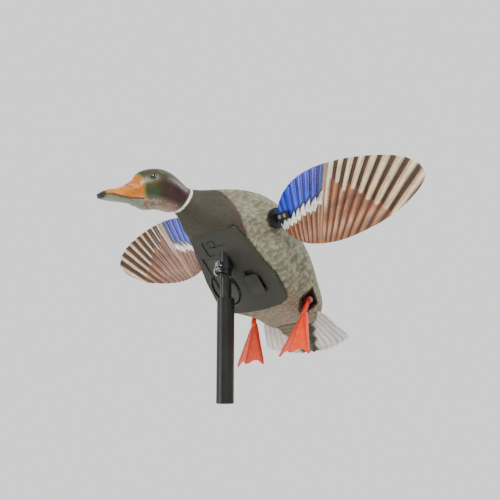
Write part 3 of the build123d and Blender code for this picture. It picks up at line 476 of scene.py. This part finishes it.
@dataclass
class Body:
    """Blow-moulded body with raised feathers, painted by hand."""

    voxel_mm: float = 1.7
    smoothing: int = 8
    feather_width: float = 10.2
    feather_pitch: float = 8.4
    relief_mm: float = 0.6
    girth_radius: float = 65.0
    spine: tuple = ((-170, 0, 27, 50, 70, 90), (0, -3, -14, -33, -53, -72))

    def build(self) -> list[bpy.types.Object]:
        """Sculpt and paint the shell.

        Returns:
            The new pieces.
        """
        skin = skin_of("body_shell", "body_skin", self.voxel_mm, self.smoothing)
        places = points(skin)
        ahead, left, above = body_axes(places)
        middle = np.interp(ahead, *self.spine)
        turn = np.arctan2(left, above - middle)
        round_body = turn * self.girth_radius
        wave = 3.2 * np.sin(ahead / 11 + 2.6 * turn) + 1.6 * np.sin(ahead / 4.3 - 5 * turn)
        swell = 3.0 * np.sin(round_body / 9 + ahead / 23) + 1.5 * np.sin(round_body / 3.7 - ahead / 8)
        edge, lift, tone = feather_tips(round_body + wave, swell - ahead, self.feather_width,
                                        self.feather_pitch)
        chest = step(-5, 7, ahead - 66 - 2.7 * (above + 26) + 5 * (tone - 0.5))
        outer = (normals(skin) * self.outward(left, above - middle)).sum(1) > 0.2
        depth = self.relief_mm * (1 - 0.6 * chest) * outer
        ripple = 0.12 * np.sin(round_body * 2.2 + 9 * tone) * outer
        reshape(skin, places + normals(skin) * ((lift - 0.45) * depth + ripple)[:, None])
        store(skin, self.paint(ahead, left, above, turn, edge, lift, tone, chest),
              np.stack([round_body * 0.9, ahead * 0.22, above * 0.1], 1))
        dress(skin, FEATHER_PAINT)
        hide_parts("body_shell")
        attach(skin, "decoy")
        return [skin]

    @staticmethod
    def outward(left: np.ndarray, high: np.ndarray) -> np.ndarray:
        """Unit directions away from the body's spine, in the row frame."""
        size = np.maximum(np.hypot(left, high), 1e-6)
        return np.stack([-high * math.sin(PITCH), left, high * math.cos(PITCH)], 1) / size[:, None]

    @staticmethod
    def paint(ahead: np.ndarray, left: np.ndarray, above: np.ndarray, turn: np.ndarray,
              edge: np.ndarray, lift: np.ndarray, tone: np.ndarray,
              chest: np.ndarray) -> np.ndarray:
        """Lay the drake's colours from the light flanks to the dark breast and back, with painted shade
        in the slots beside the leg sockets.

        Args:
            ahead: distance ahead of the axle.
            left: distance to the left.
            above: height over the axle along the body.
            turn: angle round the spine from the back.
            edge: nearness to a feather's edge.
            lift: height on the feather.
            tone: random tone of the feather.
            chest: cover of the breast colour.

        Returns:
            One colour per vertex.
        """
        colour = flat("#6f6b56", len(ahead))
        colour = blend(colour, "#8f8a70", 0.6 * step(0.3, 0.9, tone))
        colour = blend(colour, "#57533e", 0.6 * step(0.5, 0.0, tone))
        colour = blend(colour, "#84705a", 0.7 * step(-95, -150, ahead + 0.5 * above))
        colour = blend(colour, "#2e2a1c", 0.6 * edge * step(0.2, 0.8, tone + 0.3))
        colour = blend(colour, "#a8a488", 0.35 * near(lift, 0.62, 0.16))
        blots = step(0.62, 0.8, scatter(np.round(ahead / 7), np.round(turn * 9)))
        flank = near(np.abs(turn), 1.55, 0.5) * step(15, -15, ahead) * step(-150, -90, ahead)
        colour = blend(colour, "#2c3020", 0.6 * blots * flank * near(lift, 0.5, 0.4))
        folded = np.interp(ahead, (-140, -110, -40, -5, 14), (0.3, 0.62, 0.98, 0.8, 0.1))
        back = step(0.14, -0.06, np.abs(turn) - folded + 0.12 * (tone - 0.5))
        colour = blend(colour, "#2e241c", 0.85 * back)
        colour = blend(colour, "#6e5a44", 0.6 * back * edge)
        border = chest * (1 - step(6, 24, ahead - 66 - 2.7 * (above + 26)))
        colour = blend(colour, "#2a2618", chest * 0.95)
        colour = blend(colour, "#3c2208", border * 0.85)
        bars = 0.5 + 0.5 * np.sin(ahead * 2.4 + 2 * np.sin(left * 0.7))
        colour = blend(colour, "#544c34", 0.25 * chest * bars)
        # Painted shade: dark brown laid in the slot beside each leg socket, standing in for the shadow
        # inside it.
        slot_shade_band = step(-28, -20, above) * (np.abs(left) > 44) * (np.abs(left) < 52)
        slot_shade = slot_shade_band * (ahead > -147) * (ahead < -119) * (above < 4)
        return blend(colour, "#3a2618", 0.8 * slot_shade)


@dataclass
class Head:
    """Head with its bill, eyes and white collar."""

    voxel_mm: float = 1.0
    smoothing: int = 6
    collar_spot: tuple[float, float] = (109.0, 22.6)
    collar_tilt: float = 24.0
    collar_width: float = 4.2
    eye_spot: tuple[float, float, float] = (171.0, 17.6, 41.0)
    eye_radius: float = 4.3
    bill_root: float = 184.0

    def build(self) -> list[bpy.types.Object]:
        """Sculpt and paint the head and set the eyes.

        Returns:
            The new pieces.
        """
        skin = skin_of("head", "head_skin", self.voxel_mm, self.smoothing)
        places = points(skin)
        out = places - AXLE
        front, left, up = out[:, 0], out[:, 1], out[:, 2]
        tilt = math.radians(self.collar_tilt)
        ahead_of = front - self.collar_spot[0]
        over = up - self.collar_spot[1]
        band = ahead_of * math.cos(tilt) + over * math.sin(tilt)
        bill = step(-0.8, 0.8, front - self.root_line(up))
        turn = np.arctan2(left, up - 27)
        edge, lift, tone = feather_tips(turn * 22, -front, 3.4, 3.0)
        gape = np.exp(-((up - self.gape_line(front)) / 0.9) ** 2) * step(178, 186, front)
        nostril = near(front, 203, 4.0) * near(up, 24, 1.7) * step(3, 6, np.abs(left))
        socket = near(np.hypot(front - self.eye_spot[0], up - self.eye_spot[2]), 0, 5.5)
        outer = step(0, 0.4, (normals(skin) * self.outward(front, left, up)).sum(1))
        collar = step(-0.4, 0.4, self.collar_width - band)
        push = outer * ((1 - bill) * (1 - collar) * 0.3 * (lift - 0.4) + 0.7 * collar)
        push -= outer * (1.5 * gape + 1.6 * nostril + 0.9 * socket * (np.abs(left) > 12))
        push += outer * 0.9 * bill * near(up, self.gape_line(front) + 1.9, 1.1)
        reshape(skin, places + normals(skin) * push[:, None])
        store(skin, self.paint(front, left, up, bill, gape, nostril, collar, edge, tone),
              np.stack([turn * 22 * 1.2, front * 0.35, up * 0.2], 1))
        dress(skin, HEAD_PAINT)
        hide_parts("head")
        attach(skin, "decoy")
        return [skin] + [self.eye(side) for side in (1, -1)]

    def root_line(self, up: np.ndarray) -> np.ndarray:
        """How far forward the bill meets the face, further back low on the cheek."""
        return self.bill_root + 0.22 * (up - 14)

    @staticmethod
    def gape_line(front: np.ndarray) -> np.ndarray:
        """Height of the line between the two halves of the bill."""
        return np.interp(front, (176, 190, 210, 230, 246), (8.5, 8.0, 6.0, 5.4, 3.0))

    @staticmethod
    def outward(front: np.ndarray, left: np.ndarray, up: np.ndarray) -> np.ndarray:
        """Unit directions away from the line through head and bill."""
        line = np.interp(front, (109, 150, 186, 246), (22, 28, 16, 3))
        away = np.stack([0 * front, left, up - line], 1)
        return away / np.maximum(np.linalg.norm(away, axis=1), 1e-6)[:, None]

    def paint(self, front: np.ndarray, left: np.ndarray, up: np.ndarray, bill: np.ndarray,
              gape: np.ndarray, nostril: np.ndarray, collar: np.ndarray, edge: np.ndarray,
              tone: np.ndarray) -> np.ndarray:
        """Lay the head's colours.

        Args:
            front: distance ahead of the axle.
            left: distance to the left.
            up: height over the axle.
            bill: cover of the bill.
            gape: nearness to the mouth line.
            nostril: nearness to a nostril.
            collar: cover of the white band.
            edge: nearness to a small feather's edge.
            tone: random tone of the feather.

        Returns:
            One colour per vertex.
        """
        colour = flat("#35200f", len(front))
        crown = step(34, 48, up)
        colour = blend(colour, "#262608", 0.9 * crown)
        colour = blend(colour, "#3e1a0c", 0.8 * step(155, 130, front) * step(10, 34, up))
        colour = blend(colour, "#2e1016", 0.7 * near(front, 132, 12) * near(up, 26, 14))
        colour = blend(colour, "#4a4a08", 0.85 * near(front, 176, 9) * near(up, 32, 12))
        colour = blend(colour, "#0a4a24", 0.9 * near(front, 169, 9) * near(up, 16, 9))
        throat = step(16, 4, up - 0.1 * (front - 150))
        colour = blend(colour, "#9a7464", 0.85 * throat * (1 - 0.5 * near(front, 172, 10)))
        colour = blend(colour, "#7c8a74", 0.35 * throat * near(front, 162, 10))
        # Painted highlight: speckles of lighter olive on top of the crown, standing in for the sheen of
        # the iridescent head.
        colour = blend(colour, "#8c8c30", 0.3 * crown * near(front, 160, 10) * step(0.5, 1, tone))
        colour = blend(colour, "#20180e", 0.45 * edge)
        colour = blend(colour, "#c8b4a0", 0.3 * throat * step(0.6, 0.9, tone))
        rim = near(front - self.root_line(up), -1.6, 1.7) * (up > self.gape_line(front))
        colour = blend(colour, "#8c8c10", 0.6 * rim)
        top = step(-0.4, 0.4, up - self.gape_line(front))
        yellow = blend(flat("#76806a", len(front)), "#c46c00", top)
        yellow = blend(yellow, "#a86c10", 0.5 * top * near(np.abs(left), 0, 4) * step(225, 195, front))
        yellow = blend(yellow, "#d88a10", 0.5 * top * near(front, 222, 12))
        yellow = blend(yellow, "#1c1018", step(239, 242.5, front + 0.15 * np.abs(left)))
        yellow = blend(yellow, "#3a2a10", 0.85 * gape)
        yellow = blend(yellow, "#241608", 0.9 * nostril)
        colour = colour * (1 - bill[:, None]) + yellow * bill[:, None]
        return blend(colour, "#e6e0d4", collar)

    def eye(self, side: int) -> bpy.types.Object:
        """Make one eye: a domed ball in a thin lid ring.

        Args:
            side: 1 for the left eye, -1 for the right.

        Returns:
            The eye with its lid joined to it.
        """
        spot = (AXLE + np.array(self.eye_spot) * (1, side, 1)) / 1000
        radius = self.eye_radius / 1000
        bpy.ops.object.select_all(action="DESELECT")
        bpy.ops.mesh.primitive_uv_sphere_add(segments=32, ring_count=20, radius=radius,
                                             location=Vector(spot), rotation=(math.pi / 2, 0, 0))
        ball = bpy.context.object
        ball.scale = (1.0, 1.0, 0.62)
        dress(ball, EYE_GLOSS)
        bpy.ops.object.transform_apply(location=True, rotation=True, scale=True)
        bpy.ops.mesh.primitive_torus_add(major_segments=40, minor_segments=12,
                                         major_radius=radius * 1.02, minor_radius=radius * 0.2,
                                         location=Vector(spot) + Vector((0, side * 0.0012, 0)),
                                         rotation=(math.pi / 2, 0, 0))
        lid = bpy.context.object
        lid.scale = (1.12, 0.94, 1.0)
        dress(lid, LID_PAINT)
        bpy.ops.object.transform_apply(location=True, rotation=True, scale=True)
        select_only(ball)
        lid.select_set(True)
        bpy.ops.object.join()
        bpy.ops.object.shade_smooth()
        ball.name = f"{'left' if side > 0 else 'right'}_eye"
        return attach(ball, "decoy")


@dataclass
class Wing:
    """Flat blade, fluted along its printed feathers."""

    side: int
    voxel_mm: float = 0.9
    fan_centre: tuple[float, float] = (105.0, -150.0)
    rib_angle: float = 3.9
    flute_mm: float = 1.5
    blue_rib: float = 66.0

    def build(self) -> list[bpy.types.Object]:
        """Flute and print the blade.

        Returns:
            The new piece.
        """
        name = "left" if self.side > 0 else "right"
        skin = skin_of(f"{name}_wing", f"{name}_blade", self.voxel_mm, 2)
        places = points(skin)
        out = places - AXLE
        span = np.abs(out[:, 1])
        chord = out[:, 0] * math.sin(WING_SPIN) + out[:, 2] * math.cos(WING_SPIN)
        angle = np.degrees(np.arctan2(chord - self.fan_centre[1], span - self.fan_centre[0]))
        reach = np.hypot(chord - self.fan_centre[1], span - self.fan_centre[0])
        rib = (self.blue_rib - angle) / self.rib_angle
        share = rib - np.floor(rib)
        flute = self.flute_mm * (0.5 - 0.5 * np.cos(2 * math.pi * share)) * step(112, 126, span)
        camber = -2.2 * ((chord / 54) ** 2) * step(108, 150, span)
        facing = np.array([math.cos(WING_SPIN), 0, -math.sin(WING_SPIN)])
        reshape(skin, places + facing[None, :] * (flute + camber)[:, None])
        store(skin, self.print(span, chord, rib, share),
              np.stack([rib * 5.2, reach * 0.035, 0 * reach + self.side], 1))
        dress(skin, WING_PRINT)
        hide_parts(f"{name}_wing")
        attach(skin, "rotor")
        return [skin]

    def print(self, span: np.ndarray, chord: np.ndarray, rib: np.ndarray,
              share: np.ndarray) -> np.ndarray:
        """Colours of the printed blade, with painted highlights and painted shade on its flutes.

        Args:
            span: distance from the middle of the bird.
            chord: distance up the blade.
            rib: number of the rib, from the blue panel's outer edge.
            share: place across the rib, 0 to 1.

        Returns:
            One colour per vertex.
        """
        number = np.floor(rib)
        tone = scatter(number, number * 2)
        line = np.clip(near(share, 0.0, 0.1) + near(share, 1.0, 0.1), 0, 1)
        colour = flat("#84431f", len(span))
        # Painted highlight and painted shade: each flute is lighter just past its crest and darker on
        # its other slope.
        colour = blend(colour, "#b8743f", 0.8 * near(share, 0.62, 0.2))
        colour = blend(colour, "#5c2c16", 0.75 * near(share, 0.2, 0.17))
        glint = near(share, 0.72 - 0.2 * tone, 0.06) * step(0.3, 0.5, tone)
        colour = blend(colour, "#f2d9b0", 0.85 * glint * step(-46, -30, chord))
        shade = near(chord, -6 + 0.08 * (span - 190), 5) * step(175, 190, span)
        colour = blend(colour, "#3a2416", 0.5 * shade)
        shine = near(chord, -36 + 0.05 * (span - 160), 8) * step(0.3, 0.7, share)
        colour = blend(colour, "#e2b98c", 0.55 * shine)
        colour = blend(colour, "#3c1a0c", 0.6 * line)
        edge_fall = 44 - 0.44 * (span - 205) - 0.0022 * (span - 205) ** 2
        reach = 17 + 18 * tone + 0.16 * (span - 180)
        tip = np.abs(share - 0.74) * 14
        stripes = step(-2, 2, chord - edge_fall + reach - tip) * (rib > 0.3)
        pale = blend(flat("#cf9f66", len(span)), "#f6e3bb", near(share, 0.74, 0.14))
        brown = blend(flat("#2e1a0e", len(span)), "#4e2e18", near(share, 0.3, 0.12))
        thin = np.interp(span, (190, 260), (0.62, 0.46))
        light = (step(-0.03, 0.03, share - thin) * step(1.0, 0.95, share))[:, None]
        bars = pale * light + brown * (1 - light)
        colour = colour * (1 - stripes[:, None]) + bars * stripes[:, None]
        inner = rib < 0
        crest = -14 + 0.24 * (span - 90)
        tooth = 9 * share + 5 * tone
        colour = blend(colour, "#7a3c1c", inner * 0.5)
        white = inner * step(-0.6, 0.6, chord - crest + 9 + 8 * np.abs(share - 0.5) - 7 * tone)
        colour = blend(colour, "#fbf8f0", white)
        colour = blend(colour, "#0c1210", inner * step(-0.6, 0.6, chord - crest - tooth + 3))
        violet = step(130, 168, span)
        blue = blend(flat("#0a2ad8", len(span)), "#2a1cae", violet)
        # Painted highlight: a lighter blue band along each flute of the blue panel.
        blue = blend(blue, "#1e66ff", 0.8 * near(share, 0.6, 0.18) * (1 - 0.6 * violet))
        blue = blend(blue, "#07073a", line)
        cover = (inner * step(-0.6, 0.6, chord - crest - tooth - 2))[:, None]
        colour = colour * (1 - cover) + blue * cover
        last = near(rib, -0.42, 0.3) * step(0, 12, chord)
        colour = blend(colour, "#2c3a2c", 0.75 * last)
        colour = blend(colour, "#d8b078", near(rib, 0.1, 0.14))
        return blend(colour, "#f6ecd6", 0.9 * near(rib, 0.62, 0.2) * step(-16, 6, chord))


@dataclass
class Tail:
    """Stiff fan of white feathers with the brown wedge of coverts."""

    feathers: int = 14
    half_width: float = 90.0

    def build(self) -> list[bpy.types.Object]:
        """Sculpt and paint the fan.

        Returns:
            The new piece.
        """
        skin = skin_of("tail_fan", "tail_feathers", 1.1, 2)
        places = points(skin)
        ahead, left, above = body_axes(places)
        reach = step(-150, -215, ahead)
        spread = self.half_width * np.interp(ahead, (-206, -156), (1.0, 0.66))
        feather = (left / spread + 1) * self.feathers / 2
        share = feather - np.floor(feather)
        wedge_half = np.interp(ahead, (-222, -150), (15, 50))
        wedge = step(4, -4, np.abs(left) - wedge_half + 5 * np.sin(ahead * 0.35))
        ridge = 0.5 * near(share, 0.5, 0.08) + 1.3 * share * (1 - wedge)
        reshape(skin, places + normals(skin) * ((ridge - 0.4) * (0.4 + 0.6 * reach))[:, None])
        store(skin, self.paint(ahead, left, share, wedge, wedge_half),
              np.stack([left * 0.8, ahead * 0.16, above * 0.2], 1))
        dress(skin, TAIL_PAINT)
        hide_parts("tail_fan")
        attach(skin, "decoy")
        return [skin]

    @staticmethod
    def paint(ahead: np.ndarray, left: np.ndarray, share: np.ndarray, wedge: np.ndarray,
              wedge_half: np.ndarray) -> np.ndarray:
        """Colours of the fan.

        Args:
            ahead: distance ahead of the axle.
            left: distance to the left.
            share: place across the feather, 0 to 1.
            wedge: cover of the coverts.
            wedge_half: half width of the coverts there.

        Returns:
            One colour per vertex.
        """
        colour = flat("#dcdad4", len(ahead))
        colour = blend(colour, "#8a867a", 0.75 * near(share, 0.02, 0.09))
        colour = blend(colour, "#a09c90", 0.5 * step(-216, -224, ahead - 4 * np.sin(share * math.pi)))
        colour = blend(colour, "#f2f0ec", 0.6 * near(share, 0.5, 0.12))
        colour = blend(colour, "#a8a498", 0.3 * step(-200, -165, ahead))
        brown = blend(flat("#75654e", len(ahead)), "#5a4c38", 0.5 + 0.5 * np.sin(ahead * 0.9))
        cover = wedge[:, None]
        colour = colour * (1 - cover) + brown * cover
        rim = near(np.abs(left) - wedge_half, -5, 6.5) * step(-152, -166, ahead)
        return blend(colour, "#1c2410", 0.92 * rim)


@dataclass
class Foot:
    """Hanging foot with three toes and a web."""

    side: int
    lean: float
    pivot: tuple[float, float, float] = (-108.6, 60.0, 152.3)

    def build(self) -> list[bpy.types.Object]:
        """Sculpt and paint the foot.

        Returns:
            The new piece.
        """
        name = "left" if self.side > 0 else "right"
        skin = skin_of(f"{name}_leg", f"{name}_foot", 0.7, 6)
        places = points(skin)
        out = places - np.array(self.pivot) * (1, self.side, 1)
        lean = math.radians(self.lean)
        down = out[:, 0] * math.sin(lean) - out[:, 2] * math.cos(lean)
        left = out[:, 1]
        toe_line = 31 * np.clip((down - 21) / 67, 0, 1)
        toes = near(left, 0, 2.0)
        for sign in (-1, 1):
            toes = np.maximum(toes, near(left, sign * toe_line, 2.2))
        toes *= step(24, 36, down)
        joints = near(np.mod(down, 22), 11, 3.0) * toes
        wrinkles = 0.12 * np.sin(down * 2.1) * step(60, 40, down) * step(20, 30, down)
        neck = 0.45 * step(34, 22, down)
        reshape(skin, places + normals(skin) * (0.8 * toes + 0.35 * joints + wrinkles - neck)[:, None])
        colour = flat("#f03c12", len(down))
        colour = blend(colour, "#ff5a28", 0.5 * step(30, 60, down) * (1 - toes))
        colour = blend(colour, "#d83408", 0.8 * toes)
        colour = blend(colour, "#b41004", 0.85 * step(26, 4, down))
        colour = blend(colour, "#c83a18", 0.5 * step(84, 90, down))
        store(skin, colour, np.stack([left, down * 0.4, 0 * down], 1))
        dress(skin, FOOT_VINYL)
        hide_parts(f"{name}_leg")
        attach(skin, f"{name}_leg")
        return [skin]


# ---------------------------------------------------------------- the studio


@dataclass
class Studio:
    """Pale floor, soft lights and the camera."""

    floor_height: float = -0.42
    camera_spot: tuple[float, float, float] = (0.7306, 0.9255, -0.0623)
    camera_aim: tuple[float, float, float] = (-0.6248, -0.7446, 0.2351)
    lens_mm: float = 59.25

    def build(self) -> None:
        """Put up the floor, the world, the lights and the camera."""
        bpy.ops.object.select_all(action="DESELECT")
        bpy.ops.mesh.primitive_plane_add(size=30, location=(0, 0, self.floor_height))
        floor = bpy.context.object
        floor.name = "studio_floor"
        bpy.ops.object.transform_apply(location=True, rotation=True, scale=True)
        dress(floor, Finish("pale_matt_floor", "#f2f2f0", "#f6f6f4", (0.8, 0.9), patch_mm=900,
                            relief_mm=0.0))
        bpy.ops.object.select_all(action="DESELECT")
        aim = Vector(self.camera_aim)
        bpy.ops.mesh.primitive_plane_add(size=9, location=Vector(self.camera_spot) + aim * 4.5,
                                         rotation=(-aim).to_track_quat("Z", "Y").to_euler())
        wall = bpy.context.object
        wall.name = "studio_wall"
        bpy.ops.object.transform_apply(location=True, rotation=True, scale=True)
        glow = bpy.data.materials.new("lit_white_wall")
        glow.use_nodes = True
        glow.node_tree.nodes.clear()
        lamp = add(glow.node_tree, "ShaderNodeEmission", {"Color": linear("#ffffff"), "Strength": 1.25})
        add(glow.node_tree, "ShaderNodeOutputMaterial", {"Surface": lamp.outputs[0]})
        wall.data.materials.append(glow)
        world = bpy.data.worlds.new("studio_world")
        world.use_nodes = True
        world.node_tree.nodes["Background"].inputs[0].default_value = (1, 1, 1, 1)
        world.node_tree.nodes["Background"].inputs[1].default_value = 0.6
        bpy.context.scene.world = world
        self.light("key", (0.7, 1.2, 1.6), 0.8, 42)
        self.light("fill", (1.7, -0.6, 0.2), 0.9, 9)
        self.light("rim", (-1.4, 0.6, 1.4), 0.7, 12)
        lens = bpy.data.cameras.new("camera")
        lens.lens = self.lens_mm
        lens.sensor_width = 36
        lens.clip_start = 0.01
        camera = bpy.data.objects.new("camera", lens)
        camera.location = self.camera_spot
        camera.rotation_euler = Vector(self.camera_aim).to_track_quat("-Z", "Y").to_euler()
        bpy.context.scene.collection.objects.link(camera)
        bpy.context.scene.camera = camera

    @staticmethod
    def light(name: str, spot: tuple[float, float, float], size: float, power: float) -> None:
        """Add a soft square light that points at the bird.

        Args:
            name: name of the light.
            spot: its place, in metres.
            size: length of its side.
            power: its power in watts.
        """
        lamp = bpy.data.lights.new(name, "AREA")
        lamp.size = size
        lamp.energy = power
        holder = bpy.data.objects.new(name, lamp)
        holder.location = spot
        aim = Vector((0, 0, 0.22)) - Vector(spot)
        holder.rotation_euler = aim.to_track_quat("-Z", "Y").to_euler()
        bpy.context.scene.collection.objects.link(holder)


def dress_frame() -> None:
    """Give every CAD node that stays its real finish."""
    for finish, nodes in NODE_FINISHES.items():
        for node in nodes:
            dress(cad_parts[node], finish)


def main() -> None:
    """Build every sub-assembly in order and report its pieces."""
    logging.basicConfig(level=logging.INFO, format="%(message)s")
    Studio().build()
    dress_frame()
    assemblies = [Body(), Head(), Wing(1), Wing(-1), Tail(), Foot(1, 27), Foot(-1, 14)]
    for assembly in assemblies:
        for piece in assembly.build():
            LOG.info("%s: %d faces", piece.name, len(piece.data.polygons))


if __name__ == "__main__":
    main()
